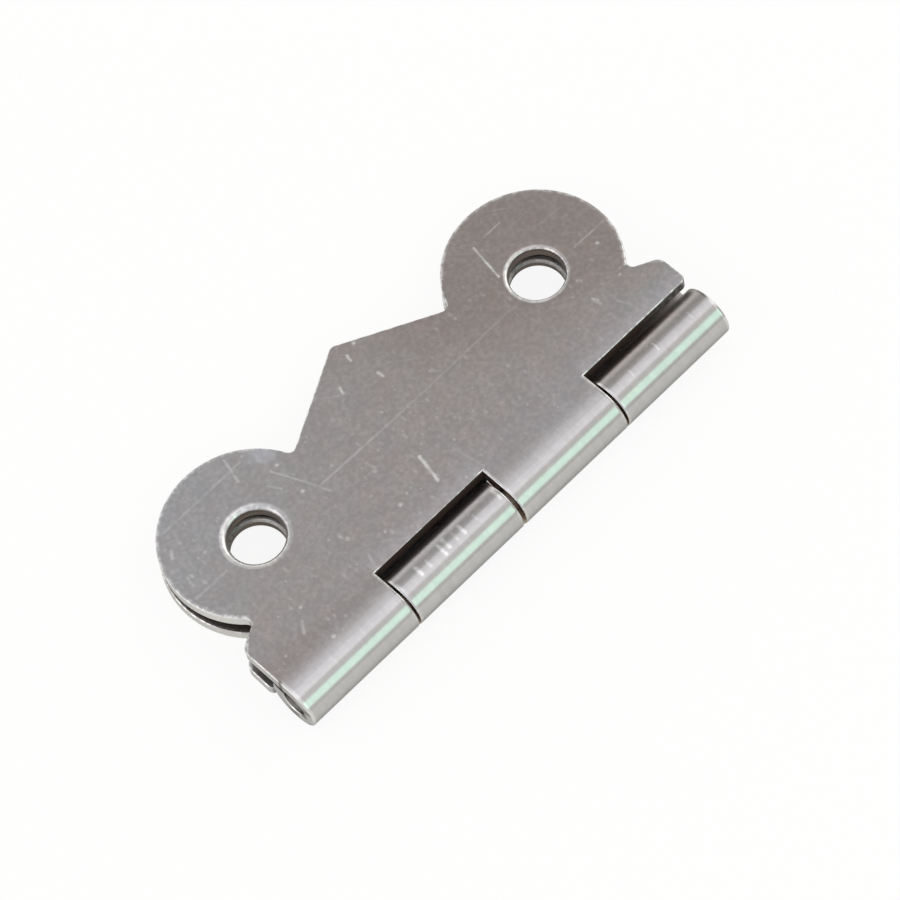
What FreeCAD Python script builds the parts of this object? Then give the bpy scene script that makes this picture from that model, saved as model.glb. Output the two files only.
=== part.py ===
import FreeCAD, Part
import math
import os

# A small butterfly hinge: two stamped and rolled steel leaves on one wire pin.
# Both leaves are the same stamping. The lower one is turned over, so that its
# knuckles fill the slots of the upper one.
#
# X runs along the barrel, and both leaves point to +Y. The lower leaf lies flat
# with its mounting face on Z = 0. The origin is on that face, midway between
# the lower leaf's two screw holes.

V = FreeCAD.Vector
X_AXIS = V(1, 0, 0)
Y_AXIS = V(0, 1, 0)
Z_AXIS = V(0, 0, 1)

# Sheet, pin and barrel, in millimetres
sheet = 0.95
pin_diameter = 1.75
pin_clearance = 0.04
barrel_length = 38.0
pin_recess = 0.45
pin_end_round = 0.3

# The sheet starts to turn before the roll itself, in a wide and shallow curve
lead_in_radius = 10.5
lead_in_turn = 6.0

# Knuckles, which belong to the upper and the lower leaf in turn. The leaves have
# end play, and the upper one lies pushed towards +X by part of it.
knuckle_count = 4
knuckle_gap = 0.2
end_play_taken = 0.05
slot_clearance = 0.24
free_end_gap = 0.15

# Outline of a leaf, with each reach measured from the pin's axis. The lobes set
# the leaf's reach and end flush with the barrel, and the peak stops a little short.
leaf_reach = 16.02
lobe_radius = 6.1
peak_shortfall = 0.25
flank_angle = 28.4
foot_reach = 4.22
peak_round = 0.5
notch_round = 0.45
foot_round = 0.8
slot_mouth_round = 0.45

# Screw holes, each a little inside its lobe's centre and nearer to the barrel.
# The blunter of the two punches rolls its edge over further.
screw_inset = 0.1
screw_setback = 0.45
screw_hole_radius = 1.9
left_hole_roll = 0.42
right_hole_roll = 0.24
hole_break = 0.16

# The sheet's edges, which are crisper round the slots than along the outline, and
# the gap left between the lobes when the hinge is shut
outline_round = 0.12
slot_edge_round = 0.06
inner_edge_break = 0.07
tip_gap = 0.1

# Sizes that follow from these
bore_radius = pin_diameter / 2 + pin_clearance
barrel_radius = bore_radius + sheet
lead_offset = lead_in_radius - barrel_radius
lead_reach = lead_offset * math.sin(math.radians(lead_in_turn))
outer_height = lead_in_radius - lead_offset * math.cos(math.radians(lead_in_turn))
inner_height = outer_height - sheet
half_length = barrel_length / 2
knuckle_pitch = barrel_length / knuckle_count
slot_reach = math.sqrt((barrel_radius + slot_clearance) ** 2 - inner_height ** 2)
free_end_angle = 360 - math.degrees(math.acos((inner_height - free_end_gap) / barrel_radius))
lobe_x = half_length - lobe_radius
lobe_reach = leaf_reach - lobe_radius
screw_x = lobe_x - screw_inset
screw_reach = lobe_reach - screw_setback
peak_reach = leaf_reach - peak_shortfall
flank_slope = math.tan(math.radians(flank_angle))
tip_reach = max(leaf_reach, peak_reach)
shut_angle = math.degrees(
    math.atan2(inner_height, tip_reach)
    + math.asin((inner_height - tip_gap) / math.hypot(inner_height, tip_reach))
)

# How far a cut runs past the sheet's edge, and how closely an edge's place is matched
overrun = barrel_radius
match = 0.001


def on_circle(radius, degrees):
    """A point of a circle about X, turned from the circle's top towards -Y."""
    turn = math.radians(degrees)
    return V(0, -radius * math.sin(turn), radius * math.cos(turn))


def arc(centre, radius, start, end):
    """The stretch of a circle about X between two turns from its top."""
    turns = (start, (start + end) / 2, end)
    return Part.Arc(*[centre + on_circle(radius, t) for t in turns]).toShape()


def side_of_roll(depth):
    """One side of the rolled sheet, this deep under its outer face: the lead-in, then the roll.

    The lead-in's centre is in line with the pin's axis and the point where the two curves meet.
    """
    lead_centre = on_circle(-lead_offset, lead_in_turn)
    return [
        arc(lead_centre, lead_in_radius - depth, 0, lead_in_turn),
        arc(V(0, 0, 0), barrel_radius - depth, lead_in_turn, free_end_angle),
    ]


def knuckle_span(index):
    """Where a knuckle starts and ends along the barrel, clear of its neighbours."""
    start = -half_length + index * knuckle_pitch
    end = start + knuckle_pitch
    if index > 0:
        start += knuckle_gap / 2
    if index < knuckle_count - 1:
        end -= knuckle_gap / 2
    return start, end


def knuckle(index):
    """The sheet's tab, rolled round the pin until it stops short of the sheet."""
    ends = [
        Part.makeLine(on_circle(barrel_radius, free_end_angle), on_circle(bore_radius, free_end_angle)),
        Part.makeLine(V(0, lead_reach, inner_height), V(0, lead_reach, outer_height)),
    ]
    edges = side_of_roll(0) + side_of_roll(sheet) + ends
    section = Part.Face(Part.Wire(Part.__sortEdges__(edges)))
    start, end = knuckle_span(index)
    section.translate(V(start, 0, 0))
    return section.extrude(V(end - start, 0, 0))


def wing():
    """The peak between the lobes, and the feet that reach to the barrel's ends."""
    right_side = [
        V(lobe_x, peak_reach - flank_slope * lobe_x, inner_height),
        V(lobe_x, foot_reach + flank_slope * (half_length - lobe_x), inner_height),
        V(half_length, foot_reach, inner_height),
        V(half_length, lead_reach, inner_height),
    ]
    left_side = [V(-p.x, p.y, p.z) for p in reversed(right_side)]
    apex = V(0, peak_reach, inner_height)
    outline = Part.makePolygon([apex] + right_side + left_side + [apex])
    return Part.Face(outline).extrude(V(0, 0, sheet))


def lobe(side):
    """One round lobe, with its seam turned to the inside of the leaf."""
    centre = V(side * lobe_x, lobe_reach, inner_height)
    disc = Part.makeCylinder(lobe_radius, sheet, centre, Z_AXIS)
    disc.rotate(centre, Z_AXIS, -90)
    return disc


def slot(index):
    """The cut that makes room for the other leaf's knuckle at this place."""
    start, end = knuckle_span(index)
    start -= overrun if index == 0 else knuckle_gap
    end += overrun if index == knuckle_count - 1 else knuckle_gap
    corner = V(start, -overrun, inner_height - overrun)
    return Part.makeBox(end - start, overrun + slot_reach, sheet + 2 * overrun, corner)


def screw_hole(side):
    """A round tool for one screw hole."""
    centre = V(side * screw_x, screw_reach, inner_height - overrun)
    return Part.makeCylinder(screw_hole_radius, sheet + 2 * overrun, centre, Z_AXIS)


def corner_radius(place):
    """The radius for the outline's corner at this place, or None where it stays square."""
    at_end = abs(place.x) > half_length - match
    if place.y < slot_reach - match:
        return None
    if place.y < slot_reach + match:
        return slot_mouth_round if at_end else None
    if at_end:
        return foot_round
    return peak_round if abs(place.x) < match else notch_round


def nearest_edge(solid, place):
    """The edge whose middle is nearest to this place."""
    return min(solid.Edges, key=lambda e: e.CenterOfMass.distanceToPoint(place))


def flat_blank(slots):
    """The stamped sheet before it is rolled, with a slot for each of the other leaf's knuckles."""
    blank = wing().fuse([lobe(-1), lobe(1)]).removeSplitter()
    blank = blank.cut([slot(i) for i in slots])
    upright = [e for e in blank.Edges if abs(e.tangentAt(e.FirstParameter).z) > 1 - match]
    for place in [e.CenterOfMass for e in upright]:
        radius = corner_radius(place)
        if radius:
            blank = blank.makeFillet(radius, [nearest_edge(blank, place)])
    return blank.cut([screw_hole(-1), screw_hole(1)])


def is_level(edge, height):
    """True where the whole edge lies at this height."""
    return all(abs(p.z - height) < match for p in edge.discretize(5))


def is_hole_rim(edge):
    """True for a full edge of a screw hole."""
    return isinstance(edge.Curve, Part.Circle) and abs(edge.Curve.Radius - screw_hole_radius) < match


def outline_rim(solid, height):
    """The outline's edges on the face at this height, past the slots and without the screw holes."""
    return [
        e
        for e in solid.Edges
        if is_level(e, height) and not is_hole_rim(e) and e.BoundBox.YMax > slot_reach + match
    ]


def slot_rim(solid):
    """The outer edges of the slots and of the knuckle ends beside them."""
    found = []
    for edge in solid.Edges:
        box = edge.BoundBox
        on_leaf = is_level(edge, outer_height) and lead_reach + match < box.YMax < slot_reach + match
        on_roll = box.XLength < match and any(
            isinstance(edge.Curve, Part.Circle) and abs(edge.Curve.Radius - radius) < match
            for radius in (barrel_radius, lead_in_radius)
        )
        if (on_leaf or on_roll) and abs(edge.CenterOfMass.x) < half_length - knuckle_pitch / 2:
            found.append(edge)
    return found


def hole_rim(solid, side, height):
    """The rim of one screw hole on the face at this height."""
    return [
        e
        for e in solid.Edges
        if is_hole_rim(e)
        and is_level(e, height)
        and abs(e.Curve.Center.x - side * screw_x) < match
    ]


def leaf(own_knuckles):
    """A finished leaf with the pin's axis on X, its outer face on top and the wing towards +Y."""
    slots = [i for i in range(knuckle_count) if i not in own_knuckles]
    rolls = [knuckle(i) for i in own_knuckles]
    solid = flat_blank(slots).fuse(rolls).removeSplitter().Solids[0]
    solid = solid.makeFillet(outline_round, outline_rim(solid, outer_height))
    solid = solid.makeFillet(slot_edge_round, slot_rim(solid))
    solid = solid.makeChamfer(inner_edge_break, outline_rim(solid, inner_height))
    for side, roll in ((-1, left_hole_roll), (1, right_hole_roll)):
        solid = solid.makeFillet(roll, hole_rim(solid, side, outer_height))
        solid = solid.makeChamfer(hole_break, hole_rim(solid, side, inner_height))
    return solid


def pin():
    """The wire pin, a little shorter than the barrel, with rounded ends."""
    length = barrel_length - 2 * pin_recess
    start = V(-length / 2, 0, 0)
    wire = Part.makeCylinder(pin_diameter / 2, length, start, X_AXIS)
    rims = [e for e in wire.Edges if isinstance(e.Curve, Part.Circle)]
    return wire.makeFillet(pin_end_round, rims)


def set_down(solid):
    """Moves a piece from the pin's axis to its place over the lower leaf's screw line."""
    solid.translate(V(0, -screw_reach, outer_height))
    return solid


def upper_leaf():
    """The leaf on top, swung down about the pin until its lobes all but meet the lower ones."""
    solid = leaf(list(range(0, knuckle_count, 2)))
    solid.rotate(V(0, 0, 0), X_AXIS, -shut_angle)
    solid.translate(V(end_play_taken, 0, 0))
    return set_down(solid)


def lower_leaf():
    """The same stamping turned over, so its knuckles are counted from the other end."""
    solid = leaf([knuckle_count - 1 - i for i in range(1, knuckle_count, 2)])
    solid.rotate(V(0, 0, 0), Y_AXIS, 180)
    return set_down(solid)


def main():
    os.makedirs("parts", exist_ok=True)
    pieces = {
        "upper_leaf": upper_leaf(),
        "lower_leaf": lower_leaf(),
        "hinge_pin": set_down(pin()),
    }
    for name, solid in pieces.items():
        solid.exportStep("parts/" + name + ".step")
        box = solid.optimalBoundingBox()
        size = "%.2f x %.2f x %.2f mm" % (box.XLength, box.YLength, box.ZLength)
        print(name, "valid" if solid.isValid() else "NOT VALID", size, "%.1f mm3" % solid.Volume)
    print("outer height %.3f, slot reach %.3f, shut angle %.3f" % (outer_height, slot_reach, shut_angle))


main()
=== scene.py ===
import math

import bpy
from mathutils import Euler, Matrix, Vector

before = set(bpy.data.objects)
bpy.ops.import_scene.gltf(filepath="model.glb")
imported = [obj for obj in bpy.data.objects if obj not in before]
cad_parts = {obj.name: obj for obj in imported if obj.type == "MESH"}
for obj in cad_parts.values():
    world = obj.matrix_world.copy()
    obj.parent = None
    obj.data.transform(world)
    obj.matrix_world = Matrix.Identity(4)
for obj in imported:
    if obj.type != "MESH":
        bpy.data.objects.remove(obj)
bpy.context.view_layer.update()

# Sizes of the hinge in metres. X runs along the barrel, both leaves point to +Y,
# and the lower leaf lies on the floor. Every finish is set out in its leaf's own
# frame: x along the barrel, reach away from the pin's axis towards the lobes, and
# height above that axis towards the outer face.
# OUTER_ENDS is where the barrel's outer ends start, and UNDER_SHEET is a height just
# under the sheet's inner face. A slot starts SLOT_MARGIN before its knuckle's place
# and takes SLOT_SHARE of the length of two places.
MM = 0.001
PIN_AXIS = Vector((0, -9.47, 1.9123)) * MM
SHUT_ANGLE = math.radians(6.518)
END_PLAY = 0.05 * MM
HALF_LENGTH = 19.0 * MM
KNUCKLE_PITCH = 9.5 * MM
KNUCKLE_GAP = 0.2 * MM
OUTER_ENDS = HALF_LENGTH - 2 * MM
OUTER_HEIGHT = 1.912 * MM
SHEET = 0.95 * MM
UNDER_SHEET = OUTER_HEIGHT - SHEET - 0.02 * MM
SLOT_REACH = 1.872 * MM
SLOT_MARGIN, SLOT_SHARE = 0.05 * MM, 0.508
LOBE_X, LOBE_REACH, LOBE_RADIUS = 12.9 * MM, 9.92 * MM, 6.1 * MM
LOBE_OUTWARD = (0.688, 0.725)
SCREW_RADIUS = 1.9 * MM
SCREW_HOLES = [(-12.8 * MM, 9.47 * MM), (12.8 * MM, 9.47 * MM)]


# Node helpers

def link(tree, source, target):
    tree.links.new(source, target)


def feed(tree, socket, value):
    """Sets a socket to a plain value, or links it to another socket."""
    if isinstance(value, bpy.types.NodeSocket):
        tree.links.new(value, socket)
    else:
        socket.default_value = value


def math_node(tree, operation, a, b=0.0, c=0.0, clamp=False):
    node = tree.nodes.new("ShaderNodeMath")
    node.operation = operation
    node.use_clamp = clamp
    for socket, value in zip(node.inputs, (a, b, c)):
        feed(tree, socket, value)
    return node.outputs[0]


def absolute(tree, value):
    return math_node(tree, "ABSOLUTE", value)


def difference(tree, a, b):
    return math_node(tree, "SUBTRACT", a, b)


def total(tree, *values):
    result = values[0]
    for value in values[1:]:
        result = math_node(tree, "ADD", result, value)
    return result


def product(tree, *values):
    result = values[0]
    for value in values[1:]:
        result = math_node(tree, "MULTIPLY", result, value)
    return result


def strongest(tree, *values):
    result = values[0]
    for value in values[1:]:
        result = math_node(tree, "MAXIMUM", result, value)
    return result


def below(tree, value, limit):
    """1 where the value is less than the limit."""
    return math_node(tree, "LESS_THAN", value, limit)


def beyond(tree, value, limit):
    """1 where the value is more than the limit."""
    return math_node(tree, "GREATER_THAN", value, limit)


def vector_node(tree, operation, a, b=(0, 0, 0), scale=1.0):
    node = tree.nodes.new("ShaderNodeVectorMath")
    node.operation = operation
    feed(tree, node.inputs[0], a)
    feed(tree, node.inputs[1], b)
    if operation == "SCALE":
        feed(tree, node.inputs["Scale"], scale)
    return node.outputs["Value" if operation in ("DOT_PRODUCT", "LENGTH", "DISTANCE") else "Vector"]


def parts_of(tree, vector):
    split = tree.nodes.new("ShaderNodeSeparateXYZ")
    feed(tree, split.inputs[0], vector)
    return split.outputs["X"], split.outputs["Y"], split.outputs["Z"]


def map_range(tree, value, low, high, to_low=0.0, to_high=1.0, smooth=True):
    """Carries the value from between low and high to between the other two, and stops at both."""
    node = tree.nodes.new("ShaderNodeMapRange")
    node.interpolation_type = "SMOOTHSTEP" if smooth else "LINEAR"
    names = ("Value", "From Min", "From Max", "To Min", "To Max")
    for name, given in zip(names, (value, low, high, to_low, to_high)):
        feed(tree, node.inputs[name], given)
    return node.outputs["Result"]


def noise(tree, vector, scale, detail=2.0, roughness=0.5, output="Fac"):
    node = tree.nodes.new("ShaderNodeTexNoise")
    feed(tree, node.inputs["Vector"], vector)
    feed(tree, node.inputs["Scale"], scale)
    feed(tree, node.inputs["Detail"], detail)
    feed(tree, node.inputs["Roughness"], roughness)
    return node.outputs[output]


def mix_colour(tree, factor, a, b, blend="MIX"):
    node = tree.nodes.new("ShaderNodeMix")
    node.data_type = "RGBA"
    node.blend_type = blend
    feed(tree, node.inputs[0], factor)
    feed(tree, node.inputs[6], a)
    feed(tree, node.inputs[7], b)
    return node.outputs[2]


def new_group(name, inputs, outputs):
    """A shader node group with named sockets. Returns its tree, inputs and output node."""
    tree = bpy.data.node_groups.new(name, "ShaderNodeTree")
    for socket_name, kind, default in inputs:
        socket = tree.interface.new_socket(socket_name, in_out="INPUT", socket_type=kind)
        if default is not None:
            socket.default_value = default
    for socket_name, kind in outputs:
        tree.interface.new_socket(socket_name, in_out="OUTPUT", socket_type=kind)
    start = tree.nodes.new("NodeGroupInput")
    end = tree.nodes.new("NodeGroupOutput")
    return tree, start.outputs, end


def use_group(tree, group, **values):
    """Places a group and returns its output. An underscore stands for a space in a socket's name."""
    node = tree.nodes.new("ShaderNodeGroup")
    node.node_tree = group
    for name, value in values.items():
        feed(tree, node.inputs[name.replace("_", " ")], value)
    return node.outputs[0]


# Shared effects

def make_plate_mottle():
    """Cloudy patches and fine grain of a tumbled nickel plate, as a tone around 1."""
    tree, given, end = new_group(
        "plate_mottle",
        [("Vector", "NodeSocketVector", None), ("Grain Scale", "NodeSocketFloat", 2300.0),
         ("Cloud Scale", "NodeSocketFloat", 450.0), ("Spread", "NodeSocketFloat", 0.1)],
        [("Tone", "NodeSocketFloat")],
    )
    cloud_weight = 0.35
    grain = noise(tree, given["Vector"], given["Grain Scale"], 1.5, 0.6)
    cloud = noise(tree, given["Vector"], given["Cloud Scale"], 2.0, 0.5)
    both = math_node(tree, "MULTIPLY_ADD", cloud, cloud_weight, grain)
    centred = difference(tree, both, 0.5 + 0.5 * cloud_weight)
    tone = math_node(tree, "MULTIPLY_ADD", centred, product(tree, given["Spread"], 10.0), 1.0)
    darkest = difference(tree, 1.0, product(tree, given["Spread"], 1.2))
    link(tree, strongest(tree, tone, darkest), end.inputs["Tone"])
    return tree


def make_bright_specks():
    """Small bright dints, one in some of the cells of a scattered grid."""
    tree, given, end = new_group(
        "bright_specks",
        [("Vector", "NodeSocketVector", None), ("Scale", "NodeSocketFloat", 700.0),
         ("Size", "NodeSocketFloat", 0.12), ("Share", "NodeSocketFloat", 0.2)],
        [("Mask", "NodeSocketFloat")],
    )
    cells = tree.nodes.new("ShaderNodeTexVoronoi")
    cells.voronoi_dimensions = "2D"
    feed(tree, cells.inputs["Vector"], given["Vector"])
    feed(tree, cells.inputs["Scale"], given["Scale"])
    pick = tree.nodes.new("ShaderNodeSeparateColor")
    link(tree, cells.outputs["Color"], pick.inputs[0])
    chosen = below(tree, pick.outputs[0], given["Share"])
    size = product(tree, given["Size"], total(tree, pick.outputs[1], 0.4))
    dot = map_range(tree, math_node(tree, "DIVIDE", cells.outputs["Distance"], size), 1.0, 0.1)
    strength = math_node(tree, "POWER", pick.outputs[2], 2.0)
    strength = math_node(tree, "MULTIPLY_ADD", strength, 0.85, 0.15)
    link(tree, product(tree, chosen, dot, strength), end.inputs["Mask"])
    return tree


def make_scratch():
    """One scratch from Start to End, which is deepest in the middle of its width."""
    tree, given, end = new_group(
        "scratch",
        [("Vector", "NodeSocketVector", None), ("Start", "NodeSocketVector", (0, 0, 0)),
         ("End", "NodeSocketVector", (0, 0, 0)), ("Width", "NodeSocketFloat", 0.0001)],
        [("Mask", "NodeSocketFloat")],
    )
    along = vector_node(tree, "SUBTRACT", given["End"], given["Start"])
    reach = vector_node(tree, "SUBTRACT", given["Vector"], given["Start"])
    covered = vector_node(tree, "DOT_PRODUCT", reach, along)
    whole = vector_node(tree, "DOT_PRODUCT", along, along)
    share = math_node(tree, "DIVIDE", covered, whole, clamp=True)
    nearest = vector_node(tree, "SCALE", along, scale=share)
    gap = vector_node(tree, "DISTANCE", reach, nearest)
    link(tree, map_range(tree, gap, given["Width"], 0.0), end.inputs["Mask"])
    return tree


def make_hairlines():
    """Very fine parallel lines in one direction, broken up so that each is short."""
    tree, given, end = new_group(
        "hairlines",
        [("Vector", "NodeSocketVector", None), ("Turn", "NodeSocketVector", (0, 0, 0)),
         ("Stretch", "NodeSocketVector", (300, 9000, 300)), ("Share", "NodeSocketFloat", 0.7)],
        [("Mask", "NodeSocketFloat")],
    )
    turn = tree.nodes.new("ShaderNodeVectorRotate")
    turn.rotation_type = "EULER_XYZ"
    feed(tree, turn.inputs["Vector"], given["Vector"])
    feed(tree, turn.inputs["Rotation"], given["Turn"])
    stretched = vector_node(tree, "MULTIPLY", turn.outputs[0], given["Stretch"])
    lines = noise(tree, stretched, 1.0, 1.0)
    edge = total(tree, given["Share"], 0.08)
    link(tree, map_range(tree, lines, given["Share"], edge), end.inputs["Mask"])
    return tree


def make_edge_fall():
    """How far the sheet's face sinks near an edge, from nothing at Width from it to Depth at the edge."""
    tree, given, end = new_group(
        "edge_fall",
        [("Gap", "NodeSocketFloat", 0.0), ("Width", "NodeSocketFloat", 0.0006),
         ("Depth", "NodeSocketFloat", 0.00003)],
        [("Height", "NodeSocketFloat")],
    )
    share = math_node(tree, "DIVIDE", given["Gap"], given["Width"], clamp=True)
    left = difference(tree, 1.0, share)
    sunk = product(tree, left, left, given["Depth"])
    link(tree, product(tree, sunk, -1.0), end.inputs["Height"])
    return tree


plate_mottle = make_plate_mottle()
bright_specks = make_bright_specks()
scratch = make_scratch()
hairlines = make_hairlines()
edge_fall = make_edge_fall()


# Marks on the upper leaf, each with its two ends as millimetres along the barrel
# and away from the pin's axis, its width in millimetres and its strength

LEAF_SCRATCHES = [
    ((-1.83, 5.64), (-2.26, 3.52), 0.24, 1.0),
    ((11.45, 13.96), (11.0, 11.17), 0.16, 0.8),
    ((-8.97, 12.08), (-8.08, 10.03), 0.16, 0.3),
    ((-8.08, 10.03), (-7.36, 8.19), 0.16, 0.22),
    ((-10.42, 14.92), (-10.67, 13.89), 0.2, 0.4),
    ((-10.77, 13.67), (-10.85, 13.12), 0.2, 0.4),
    ((-9.79, 11.42), (-9.36, 10.66), 0.16, 0.35),
    ((-16.58, 14.04), (-9.76, 14.07), 0.16, 0.2),
    ((-7.67, 8.97), (-0.05, 8.8), 0.17, 0.24),
    ((-0.05, 8.8), (9.89, 8.85), 0.14, 0.14),
    ((12.46, 14.02), (13.97, 14.03), 0.12, 0.3),
    ((15.88, 9.01), (18.57, 8.97), 0.14, 0.28),
    ((-18.43, 9.07), (-15.76, 9.05), 0.18, 0.2),
    ((13.86, 5.41), (13.95, 4.77), 0.22, 0.45),
    ((14.8, 4.06), (15.25, 3.19), 0.16, 0.2),
    ((-17.22, 12.72), (-17.53, 12.31), 0.26, 0.4),
    ((-17.82, 10.55), (-17.97, 9.93), 0.2, 0.25),
    ((0.04, 4.51), (0.44, 2.09), 0.2, 0.14),
    ((-8.94, 3.09), (-9.25, 2.26), 0.2, 0.2),
    ((-15.06, 2.87), (-15.56, 2.18), 0.22, 0.3),
    ((0.27, 14.47), (0.16, 14.03), 0.2, 0.7),
    ((-1.74, 13.11), (-1.85, 12.62), 0.2, 0.6),
    ((-4.45, 7.84), (-4.31, 7.25), 0.18, 0.3),
    ((0.72, 12.04), (0.76, 11.66), 0.22, 0.6),
]

# The larger dints: place, width and strength
LEAF_DINTS = [
    ((-8.61, 9.49), 0.26, 0.9), ((1.18, 14.79), 0.24, 0.9), ((-8.41, 12.11), 0.26, 0.7),
    ((-6.05, 9.43), 0.24, 0.5), ((-5.1, 4.07), 0.28, 0.6), ((-9.07, 4.87), 0.32, 0.4),
    ((-14.45, 0.63), 0.26, 0.5), ((-12.95, 1.09), 0.24, 0.4), ((17.06, 8.09), 0.24, 0.5),
    ((13.97, 5.06), 0.22, 0.5), ((16.31, 5.33), 0.2, 0.6), ((-4.26, 4.37), 0.2, 0.4),
]
DINT_LENGTH = 0.03

# Nicks across the lower leaf's knuckle in the upper leaf's slot, and across the one
# at the barrel's end: millimetres along the barrel, the degrees from its top towards
# -Y at which the nick starts and stops, its width and its strength
KNUCKLE_NICKS = [
    (-0.4, -20, 2, 0.3, 0.8), (-3.67, -15, 4, 0.26, 0.8), (-5.04, -17, 4, 0.28, 0.9),
    (-5.52, -15, 10, 0.24, 0.7), (-6.78, -8, 6, 0.24, 0.5), (-7.56, -13, 6, 0.28, 0.7),
    (-9.26, -12, 4, 0.3, 0.6), (14.07, -12, 5, 0.16, 0.5), (-2.5, -10, 2, 0.2, 0.3),
    (-4.3, -12, 4, 0.2, 0.4), (11.6, -6, 8, 0.14, 0.3), (17.2, -8, 6, 0.14, 0.25),
]
ROLL_RADIUS = 1.865 * MM

# A mark's ragged edges widen it and its worn parts weaken it, so it is drawn
# narrower and stronger
MARK_NARROWED, MARK_STRENGTHENED = 0.85, 1.25
RAGGED_BY = 0.12 * MM


def on_leaf(place):
    """A mark's place on the outer face, in the leaf's own frame."""
    return (place[0] * MM, place[1] * MM, OUTER_HEIGHT)


def on_lower_knuckle(x, degrees):
    """A nick's place on the lower leaf's roll, in that leaf's own frame, which is turned over."""
    turn = math.radians(180 - degrees)
    return (-x * MM, -ROLL_RADIUS * math.sin(turn), ROLL_RADIUS * math.cos(turn))


upper_marks = [(on_leaf(a), on_leaf(b), width, strength) for a, b, width, strength in LEAF_SCRATCHES]
upper_marks += [
    (on_leaf(place), on_leaf((place[0] + DINT_LENGTH, place[1])), width, strength)
    for place, width, strength in LEAF_DINTS
]
lower_marks = [
    (on_lower_knuckle(x, start), on_lower_knuckle(x, stop), width, strength)
    for x, start, stop, width, strength in KNUCKLE_NICKS
]


# Finishes

NICKEL_WARM = (0.449, 0.41, 0.392, 1)
NICKEL_COOL = (0.436, 0.413, 0.4, 1)
NICKEL_ROLLED = (0.505, 0.49, 0.482, 1)
NICKEL_BRIGHT = (0.88, 0.87, 0.85, 1)
# The outline walls' colour, a painted reflection of the white floor
NICKEL_EDGE_REFLECTION = (0.84, 0.82, 0.785, 1)
NICKEL_EDGE_TINT = (0.55, 0.55, 0.55, 1)
# A bluish painted sheen near the notch in a lobe's rim
BLUISH_SHEEN = (0.66, 0.68, 0.74, 1)
# A slow change of colour over each leaf: cooler at one lobe, warmer and darker at the other, and lighter
# and cooler near the roll
DRIFT_COOL = (1.0, 1.05, 1.1, 1)
DRIFT_WARM = (0.885, 0.84, 0.815, 1)
DRIFT_DEEP = (0.83, 0.785, 0.76, 1)
DRIFT_NEAR_ROLL = (1.01, 1.03, 1.06, 1)
CUT_STEEL = (0.2, 0.165, 0.14, 1)
# The slot walls' colour: bare sheared steel under painted shade of the recess
SLOT_STEEL_AND_SHADE = (0.12, 0.085, 0.068, 1)
KNUCKLE_END_STEEL = (0.7, 0.58, 0.5, 1)
WIRE_STEEL = (0.4, 0.385, 0.36, 1)

# The turn of each set of fine scratches on the flat, the noise level above which
# they show, and their strength
FLAT_HAIRLINES = [(38, 0.68, 0.1), (97, 0.72, 0.08), (2, 0.7, 0.08)]
# Widths of the painted highlight rings round the left and right screw holes
HOLE_RING_WIDTHS = (0.5 * MM, 0.32 * MM)
NOTCH_PATCH = (-8.3 * MM, 13.6 * MM)
DRIFT_TURNS_AT = 4 * MM


def distance_from(tree, x, reach, centre):
    """How far a point is from a centre on the leaf."""
    across = difference(tree, x, centre[0])
    along = difference(tree, reach, centre[1])
    square = math_node(tree, "MULTIPLY_ADD", across, across, product(tree, along, along))
    return math_node(tree, "SQRT", square)


def leaf_frame(tree, vector, axis, angle, centre):
    """Turns a vector back into the leaf's own frame, with the pin's axis as its origin."""
    turn = tree.nodes.new("ShaderNodeVectorRotate")
    turn.rotation_type = "AXIS_ANGLE"
    link(tree, vector, turn.inputs["Vector"])
    turn.inputs["Center"].default_value = centre
    turn.inputs["Axis"].default_value = axis
    turn.inputs["Angle"].default_value = angle
    return vector_node(tree, "SUBTRACT", turn.outputs[0], tuple(centre))


def turned_to(tree, part):
    """1 where this part of the normal is nearly the whole of it."""
    return map_range(tree, part, 0.6, 0.9)


def off_outer_ends(tree, x):
    """1 away from the barrel's two outer ends."""
    return below(tree, absolute(tree, x), OUTER_ENDS)


def at_outer_ends(tree, x):
    """1 at the barrel's two outer ends."""
    return beyond(tree, absolute(tree, x), OUTER_ENDS)


def in_slot(tree, x):
    """1 where the leaf has a slot for the other leaf's knuckle, which is every second place."""
    start = HALF_LENGTH - KNUCKLE_PITCH + SLOT_MARGIN
    turns = math_node(tree, "DIVIDE", total(tree, x, start), 2 * KNUCKLE_PITCH)
    return below(tree, math_node(tree, "FRACT", turns), SLOT_SHARE)


def slot_wall_cut_and_shade(tree, along, x, reach):
    """1 on the walls of the slots, where the bare sheared steel is darkened with painted shade of the
    recess, and less towards a slot's open end.
    """
    open_end = map_range(tree, absolute(tree, x), 14 * MM, 18.5 * MM, 1.0, 0.4)
    return product(
        tree, turned_to(tree, product(tree, along, -1.0)),
        map_range(tree, reach, SLOT_REACH - 0.3 * MM, SLOT_REACH - 0.1 * MM),
        below(tree, reach, SLOT_REACH + 0.3 * MM), open_end,
    )


def knuckle_ends(tree, side, x, reach):
    """1 on the knuckle ends that face each other, where the steel is bare."""
    return product(
        tree, turned_to(tree, absolute(tree, side)), below(tree, reach, SLOT_REACH), off_outer_ends(tree, x)
    )


def outline_walls(tree, reach, facing):
    """1 on the sheet's walls along the outline, clear of the slots."""
    return product(tree, map_range(tree, facing, 0.6, 0.4), map_range(tree, reach, 2.2 * MM, 2.6 * MM))


def barrel_end_rims(tree, x, reach):
    """1 round the barrel's two outer ends."""
    gap = difference(tree, HALF_LENGTH, absolute(tree, x))
    return product(tree, map_range(tree, gap, 0.32 * MM, 0.12 * MM), below(tree, reach, 1.0 * MM))


def inside_holes(tree, x, reach, facing):
    """1 on the walls of the screw holes."""
    left, right = [distance_from(tree, x, reach, centre) for centre in SCREW_HOLES]
    within = below(tree, math_node(tree, "MINIMUM", left, right), SCREW_RADIUS + 0.06 * MM)
    return product(tree, within, map_range(tree, facing, 0.6, 0.25))


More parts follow.
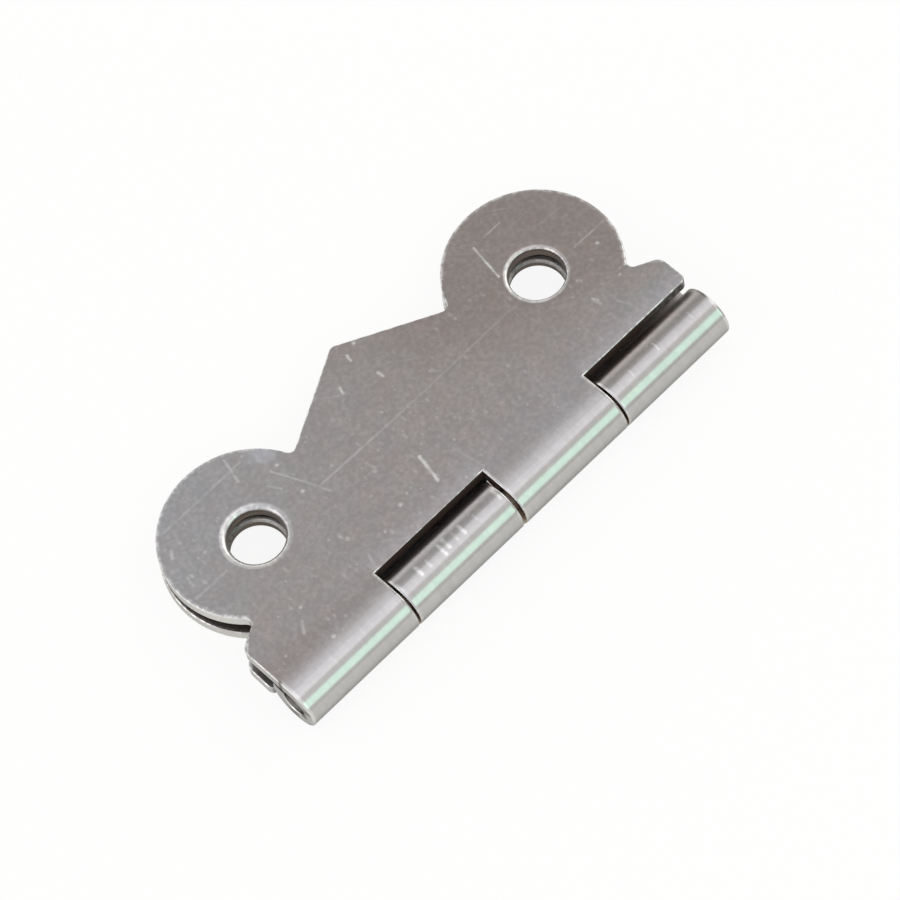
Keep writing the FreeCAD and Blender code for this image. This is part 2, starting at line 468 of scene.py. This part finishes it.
def hole_ring_highlights(tree, x, reach):
    """Painted highlights on the punched rims of the screw holes, wide on the left one and brightest on the
    side towards -X.
    """
    rings = []
    for centre, width in zip(SCREW_HOLES, HOLE_RING_WIDTHS):
        gap = difference(tree, distance_from(tree, x, reach, centre), SCREW_RADIUS)
        band = map_range(tree, gap, width * 1.15, width * 0.75)
        outside = beyond(tree, gap, -0.05 * MM)
        bright_side = map_range(tree, x, centre[0] + 0.8 * MM, centre[0] - 1.4 * MM, 0.45, 1.0)
        rings.append(product(tree, band, outside, bright_side))
    return strongest(tree, *rings)


def gap_to_knuckle_end(tree, x):
    """How far a point of a knuckle is from the nearer of its inner ends."""
    turns = math_node(tree, "DIVIDE", x, KNUCKLE_PITCH)
    off = absolute(tree, difference(tree, turns, math_node(tree, "ROUND", turns)))
    gap = difference(tree, product(tree, off, KNUCKLE_PITCH), KNUCKLE_GAP / 2)
    return total(tree, gap, product(tree, at_outer_ends(tree, x), KNUCKLE_PITCH))


def edge_heights(tree, x, reach):
    """The shallow fall of the stamped face towards the slots and screw holes."""
    slot_gap = difference(tree, reach, SLOT_REACH)
    fall = use_group(tree, edge_fall, Gap=slot_gap, Width=1.3 * MM, Depth=0.05 * MM)
    heights = product(tree, fall, in_slot(tree, x), beyond(tree, reach, SLOT_REACH - 0.1 * MM))
    fall = use_group(tree, edge_fall, Gap=gap_to_knuckle_end(tree, x), Width=0.24 * MM, Depth=0.05 * MM)
    heights = total(tree, heights, product(tree, fall, below(tree, reach, SLOT_REACH + 0.1 * MM)))
    for centre in SCREW_HOLES:
        gap = difference(tree, distance_from(tree, x, reach, centre), SCREW_RADIUS)
        fall = use_group(tree, edge_fall, Gap=gap, Width=0.7 * MM, Depth=0.03 * MM)
        heights = total(tree, heights, fall)
    return heights


def knuckle_rims(tree, x, reach):
    """1 along the slots' side edges and the knuckle ends, where handling has worn the plating bright and a
    highlight is painted.
    """
    near = map_range(tree, gap_to_knuckle_end(tree, x), 0.26 * MM, 0.1 * MM)
    beside_slot = map_range(tree, reach, -0.6 * MM, 0.4 * MM, 0.3, 1.0)
    return product(tree, near, beside_slot, below(tree, reach, SLOT_REACH + 0.1 * MM))


def lobe_rims(tree, x, reach):
    """1 along the free outline of the lobes, which are alike on both sides of X = 0."""
    across = difference(tree, absolute(tree, x), LOBE_X)
    along = difference(tree, reach, LOBE_REACH)
    square = math_node(tree, "MULTIPLY_ADD", across, across, product(tree, along, along))
    inset = difference(tree, LOBE_RADIUS, math_node(tree, "SQRT", square))
    band = map_range(tree, inset, 0.3 * MM, 0.1 * MM)
    outward = product(tree, along, LOBE_OUTWARD[1])
    outward = math_node(tree, "MULTIPLY_ADD", across, LOBE_OUTWARD[0], outward)
    return product(tree, band, beyond(tree, outward, -0.3 * MM))


def flat_wear(tree, place, on_flat):
    """The tumbled flat's bright specks, which lie in clusters, and its very fine scratches."""
    specks = use_group(tree, bright_specks, Vector=place, Scale=800.0, Size=0.12, Share=0.5)
    stretched = vector_node(tree, "MULTIPLY", place, (1.0, 0.55, 1.0))
    fine_specks = use_group(tree, bright_specks, Vector=stretched, Scale=1700.0, Size=0.26, Share=0.7)
    clusters = map_range(tree, noise(tree, place, 160.0, 1.0), 0.4, 0.62, 0.4, 1.0)
    bright = strongest(tree, product(tree, specks, 0.6), product(tree, fine_specks, 0.34))
    bright = product(tree, bright, clusters, on_flat)
    for turn, share, weight in FLAT_HAIRLINES:
        lines = use_group(
            tree, hairlines, Vector=place, Turn=(0, 0, math.radians(turn)),
            Stretch=(260, 9000, 260), Share=share,
        )
        bright = strongest(tree, bright, product(tree, lines, weight, on_flat))
    return bright


def placed_marks(tree, place, marks):
    """The scratches, dints and nicks from the tables, with ragged edges and parts worn away.

    Each is joined to the ones before it at once, since a material with too many open values renders black.
    """
    colours = noise(tree, place, 5000.0, 1.0, output="Color")
    jitter = vector_node(tree, "SUBTRACT", colours, (0.5, 0.5, 0.5))
    ragged = vector_node(tree, "ADD", place, vector_node(tree, "SCALE", jitter, scale=RAGGED_BY))
    worn_away = map_range(tree, noise(tree, place, 1100.0, 1.0), 0.35, 0.6, 0.5, 1.0)
    marked = 0.0
    for start, stop, width, strength in marks:
        drawn = width * MARK_NARROWED * MM
        mask = use_group(tree, scratch, Vector=ragged, Start=start, End=stop, Width=drawn)
        mask = product(tree, mask, min(1.0, strength * MARK_STRENGTHENED))
        marked = strongest(tree, marked, mask)
    return product(tree, marked, worn_away)


def rubbed_edges_and_highlights(tree, place, x, reach, height, side, facing, end_rim):
    """1 where handling has worn the plate bright, and where highlights are painted: the outline, holes,
    slots and barrel's ends.
    """
    worn = map_range(tree, noise(tree, place, 3000.0, 1.0), 0.42, 0.62)
    on_sheet = beyond(tree, height, UNDER_SHEET)
    rounded = map_range(tree, facing, 0.99, 0.93)
    # Worn specks along the rounded rims of the outline and lobes, which also stand as a painted highlight
    # line
    rim = product(tree, rounded, map_range(tree, reach, 0.9 * MM, 1.5 * MM), on_sheet, worn)
    lobe_rim = product(tree, lobe_rims(tree, x, reach), map_range(tree, worn, 0.0, 1.0, 0.35, 1.0))
    rim = product(tree, strongest(tree, rim, lobe_rim), 0.7)
    hole_highlight = product(tree, hole_ring_highlights(tree, x, reach), map_range(tree, worn, 0.0, 1.0, 0.7, 1.0))
    knuckle_rim_highlight = product(tree, knuckle_rims(tree, x, reach), map_range(tree, worn, 0.0, 1.0, 0.6, 1.0))
    # Painted highlights on the barrel's two outer end faces, and at half strength round their rims
    barrel_end_highlight = product(tree, turned_to(tree, absolute(tree, side)), 0.7, at_outer_ends(tree, x))
    return strongest(tree, rim, hole_highlight, knuckle_rim_highlight, barrel_end_highlight, product(tree, end_rim, 0.5))


def plate_colour_drift(tree, x, reach):
    """A slow change of colour over each leaf, from cool at one lobe to warm at the other."""
    twist = product(tree, x, difference(tree, reach, DRIFT_TURNS_AT))
    warmth = map_range(tree, twist, -1.4e-4, 0.9e-4, smooth=False)
    drift = mix_colour(tree, warmth, DRIFT_COOL, DRIFT_WARM)
    drift = mix_colour(tree, map_range(tree, twist, 0.5e-5, 5.5e-5), drift, DRIFT_DEEP)
    near_roll = map_range(tree, reach, 4.8 * MM, 2.4 * MM)
    return mix_colour(tree, near_roll, drift, DRIFT_NEAR_ROLL, "MULTIPLY")


def plate_colour(tree, place, x, reach, on_flat):
    """The nickel itself, mottled on the flat, and smoother and drawn across on the rolls."""
    mottle = use_group(tree, plate_mottle, Vector=place, Grain_Scale=3000.0, Cloud_Scale=500.0, Spread=0.05)
    streaks = noise(tree, vector_node(tree, "MULTIPLY", place, (2600, 300, 300)), 1.0, 2.0)
    across_roll = map_range(tree, streaks, 0.3, 0.7, 0.97, 1.03, smooth=False)
    even = map_range(tree, mottle, 0.5, 1.5, 0.85, 1.15, smooth=False)
    tone = map_range(tree, on_flat, 0.0, 1.0, product(tree, even, across_roll), mottle, smooth=False)
    clouds = map_range(tree, noise(tree, place, 700.0, 2.0), 0.35, 0.65)
    tint = mix_colour(tree, clouds, NICKEL_WARM, NICKEL_COOL)
    tint = mix_colour(tree, 1.0, tint, plate_colour_drift(tree, x, reach), "MULTIPLY")
    colour = mix_colour(tree, on_flat, NICKEL_ROLLED, tint)
    # Painted sheen: a lighter bluish spot near the notch by the first lobe's rim
    sheen_spot = map_range(tree, distance_from(tree, x, reach, NOTCH_PATCH), 1.4 * MM, 0.3 * MM)
    colour = mix_colour(tree, product(tree, sheen_spot, 0.5), colour, BLUISH_SHEEN)
    return mix_colour(tree, 1.0, colour, tone, "MULTIPLY")


def plate_relief(tree, place, x, reach, on_flat):
    """The rolls' slight waves and the fall of the stamped face towards its edges."""
    wave = product(tree, noise(tree, place, 260.0, 0.0), 0.008 * MM)
    relief = product(tree, wave, difference(tree, 1.0, on_flat))
    return total(tree, relief, edge_heights(tree, x, reach))


def nickel_plate(name, axis, angle, centre, marks):
    """Satin nickel plate over stamped steel, with its patterns set out in the leaf's own frame."""
    material = bpy.data.materials.new(name)
    material.use_nodes = True
    tree = material.node_tree
    shader = tree.nodes["Principled BSDF"]
    coords = tree.nodes.new("ShaderNodeTexCoord")
    place = leaf_frame(tree, coords.outputs["Object"], axis, angle, centre)
    normal = leaf_frame(tree, coords.outputs["Normal"], axis, angle, Vector((0, 0, 0)))
    x, reach, height = parts_of(tree, place)
    side, along, up = parts_of(tree, normal)
    facing = absolute(tree, up)
    on_flat = map_range(tree, reach, -0.2 * MM, 1.5 * MM)

    wear_and_highlights = flat_wear(tree, place, on_flat)
    wear_and_highlights = strongest(tree, wear_and_highlights, placed_marks(tree, place, marks))
    end_rim = barrel_end_rims(tree, x, reach)
    rubbed_and_highlit = rubbed_edges_and_highlights(tree, place, x, reach, height, side, facing, end_rim)
    wear_and_highlights = strongest(tree, wear_and_highlights, rubbed_and_highlit)
    # Painted reflection: the outline walls are made near white, as if they mirrored the floor
    painted_wall_reflection = product(tree, outline_walls(tree, reach, facing), 0.85)
    blotches = map_range(tree, noise(tree, place, 650.0, 1.0), 0.52, 0.6)
    stain = product(tree, end_rim, blotches, 0.85)
    # Painted shade in the slots, over their bare sheared steel
    slot_cut_and_shade = slot_wall_cut_and_shade(tree, along, x, reach)

    colour = plate_colour(tree, place, x, reach, on_flat)
    # Bright wear marks, together with the painted highlights along the rims, holes, slots and barrel's ends
    colour = mix_colour(tree, wear_and_highlights, colour, NICKEL_BRIGHT)
    colour = mix_colour(tree, painted_wall_reflection, colour, NICKEL_EDGE_REFLECTION)
    colour = mix_colour(tree, stain, colour, CUT_STEEL)
    colour = mix_colour(tree, inside_holes(tree, x, reach, facing), colour, CUT_STEEL)
    colour = mix_colour(tree, knuckle_ends(tree, side, x, reach), colour, KNUCKLE_END_STEEL)
    colour = mix_colour(tree, slot_cut_and_shade, colour, SLOT_STEEL_AND_SHADE)
    link(tree, colour, shader.inputs["Base Color"])

    dull = map_range(tree, on_flat, 0.0, 1.0, 0.2, 0.32, smooth=False)
    roughness = product(tree, dull, math_node(tree, "MULTIPLY_ADD", slot_cut_and_shade, 1.2, 1.0))
    link(tree, roughness, shader.inputs["Roughness"])
    shader.inputs["Metallic"].default_value = 1.0
    shader.inputs["Specular Tint"].default_value = NICKEL_EDGE_TINT

    bump = tree.nodes.new("ShaderNodeBump")
    bump.inputs["Strength"].default_value = 1.0
    bump.inputs["Distance"].default_value = 1.0
    link(tree, plate_relief(tree, place, x, reach, on_flat), bump.inputs["Height"])
    link(tree, bump.outputs[0], shader.inputs["Normal"])
    return material


def pin_wire():
    """Drawn steel wire, with fine lines along it."""
    material = bpy.data.materials.new("pin_wire")
    material.use_nodes = True
    tree = material.node_tree
    shader = tree.nodes["Principled BSDF"]
    place = tree.nodes.new("ShaderNodeTexCoord").outputs["Object"]
    mottle = use_group(tree, plate_mottle, Vector=place, Grain_Scale=6000.0, Cloud_Scale=1500.0, Spread=0.1)
    lines = use_group(tree, hairlines, Vector=place, Stretch=(200, 14000, 14000), Share=0.55)
    toned = mix_colour(tree, 1.0, WIRE_STEEL, mottle, "MULTIPLY")
    colour = mix_colour(tree, product(tree, lines, 0.3), toned, NICKEL_BRIGHT)
    link(tree, colour, shader.inputs["Base Color"])
    link(tree, product(tree, mottle, 0.35), shader.inputs["Roughness"])
    shader.inputs["Metallic"].default_value = 1.0
    return material


finishes = {
    "upper_leaf": nickel_plate(
        "nickel_upper_leaf", (1, 0, 0), SHUT_ANGLE, PIN_AXIS + Vector((END_PLAY, 0, 0)), upper_marks
    ),
    "lower_leaf": nickel_plate("nickel_lower_leaf", (0, 1, 0), math.pi, PIN_AXIS, lower_marks),
    "hinge_pin": pin_wire(),
}
for node, material in finishes.items():
    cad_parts[node].data.materials[0] = material


# Floor, light and camera

FLOOR_SIZE = 3.0
FLOOR_DROP = 0.02 * MM
PAPER = (0.96, 0.95, 0.89, 1)

# How much of the floor is plain white to each kind of ray. The rest is the lit
# paper, which keeps the shadow.
SEEN_WHITE, MIRRORED_WHITE = 0.88, 0.35

# Each panel's name, its azimuth from +Y towards +X and its elevation in degrees, its
# distance, width and height in metres, its level and its colour
SOFT_PANELS = [
    ("overhead_panel", 75, 79, 0.8, 0.55, 0.5, 0.52, (0.95, 0.95, 1.08)),
    ("strip_panel", 163, 33, 0.7, 0.42, 0.36, 0.95, (0.56, 0.98, 0.77)),
    ("right_panel", 88, 28, 0.8, 0.5, 0.55, 1.0, (1.0, 1.0, 1.0)),
    ("left_panel", -75, 28, 0.8, 0.5, 0.5, 0.8, (1.0, 1.0, 1.0)),
]


def paper_floor():
    """White paper, a hair under the hinge, which shows as white and keeps the hinge's soft shadow."""
    bpy.ops.object.select_all(action="DESELECT")
    bpy.ops.mesh.primitive_plane_add(size=FLOOR_SIZE, location=(0, 0, -FLOOR_DROP))
    floor = bpy.context.object
    floor.name = "paper_floor"
    material = bpy.data.materials.new("white_paper")
    material.use_nodes = True
    tree = material.node_tree
    paper = tree.nodes["Principled BSDF"]
    paper.inputs["Base Color"].default_value = PAPER
    paper.inputs["Roughness"].default_value = 0.9
    paper.inputs["Specular IOR Level"].default_value = 0.1
    white = tree.nodes.new("ShaderNodeEmission")
    white.inputs["Strength"].default_value = 1.0
    ray = tree.nodes.new("ShaderNodeLightPath").outputs
    share = strongest(
        tree,
        product(tree, ray["Is Camera Ray"], SEEN_WHITE),
        product(tree, ray["Is Transmission Ray"], SEEN_WHITE),
        product(tree, ray["Is Glossy Ray"], MIRRORED_WHITE),
    )
    mix = tree.nodes.new("ShaderNodeMixShader")
    link(tree, share, mix.inputs[0])
    link(tree, paper.outputs[0], mix.inputs[1])
    link(tree, white.outputs[0], mix.inputs[2])
    link(tree, mix.outputs[0], tree.nodes["Material Output"].inputs["Surface"])
    floor.data.materials.append(material)


def soft_panel(name, azimuth, elevation, distance, width, height, level, colour):
    """A soft panel that faces the hinge."""
    az, el = math.radians(azimuth), math.radians(elevation)
    direction = Vector((math.sin(az) * math.cos(el), math.cos(az) * math.cos(el), math.sin(el)))
    data = bpy.data.lights.new(name, "AREA")
    data.shape = "RECTANGLE"
    data.size = width
    data.size_y = height
    data.color = colour
    data.energy = level * math.pi * width * height
    lamp = bpy.data.objects.new(name, data)
    lamp.location = direction * distance
    lamp.rotation_euler = direction.to_track_quat("Z", "Y").to_euler()
    lamp.visible_camera = False
    bpy.context.scene.collection.objects.link(lamp)


def studio_world():
    """Plain grey surroundings, lighter behind the camera and low down beyond the hinge.

    They show as white themselves, and metal mirrors them as white near the horizon.
    """
    world = bpy.data.worlds.new("studio")
    bpy.context.scene.world = world
    world.use_nodes = True
    tree = world.node_tree
    background = tree.nodes["Background"]
    x, y, z = parts_of(tree, tree.nodes.new("ShaderNodeTexCoord").outputs["Generated"])
    behind_camera = map_range(tree, y, 0.35, -0.3, 0.56, 0.82)
    left = map_range(tree, x, 0.36, 0.1, -0.07, 0.09)
    past_hinge = product(tree, map_range(tree, z, 0.6, 0.3), map_range(tree, y, -0.35, 0.1), 0.6)
    overhead = map_range(tree, z, 0.6, 0.92, -0.05, 0.12)
    level = total(tree, total(tree, behind_camera, left), total(tree, past_hinge, overhead))
    ray = tree.nodes.new("ShaderNodeLightPath").outputs
    mirrored = product(tree, map_range(tree, z, 0.16, 0.04), ray["Is Glossy Ray"])
    backdrop = strongest(tree, ray["Is Camera Ray"], ray["Is Transmission Ray"], mirrored)
    link(tree, strongest(tree, level, backdrop), background.inputs["Strength"])
    tint = mix_colour(tree, map_range(tree, x, 0.3, 0.0), (1.0, 0.99, 0.97, 1), (0.98, 0.99, 1.03, 1))
    link(tree, mix_colour(tree, backdrop, tint, (1, 1, 1, 1)), background.inputs["Color"])


def photo_camera():
    """A long lens from the photograph's viewing angle."""
    data = bpy.data.cameras.new("photo_camera")
    data.lens = 176.52
    data.sensor_width = 36.0
    data.clip_start = 0.01
    data.clip_end = 20.0
    camera = bpy.data.objects.new("photo_camera", data)
    camera.location = (-74.596 * MM, -90.765 * MM, 261.237 * MM)
    camera.rotation_euler = Euler([math.radians(a) for a in (23.719, 1.9632, -45.3471)])
    bpy.context.scene.collection.objects.link(camera)
    bpy.context.scene.camera = camera


paper_floor()
for panel in SOFT_PANELS:
    soft_panel(*panel)
studio_world()
photo_camera()
bpy.context.scene.view_settings.view_transform = "Standard"
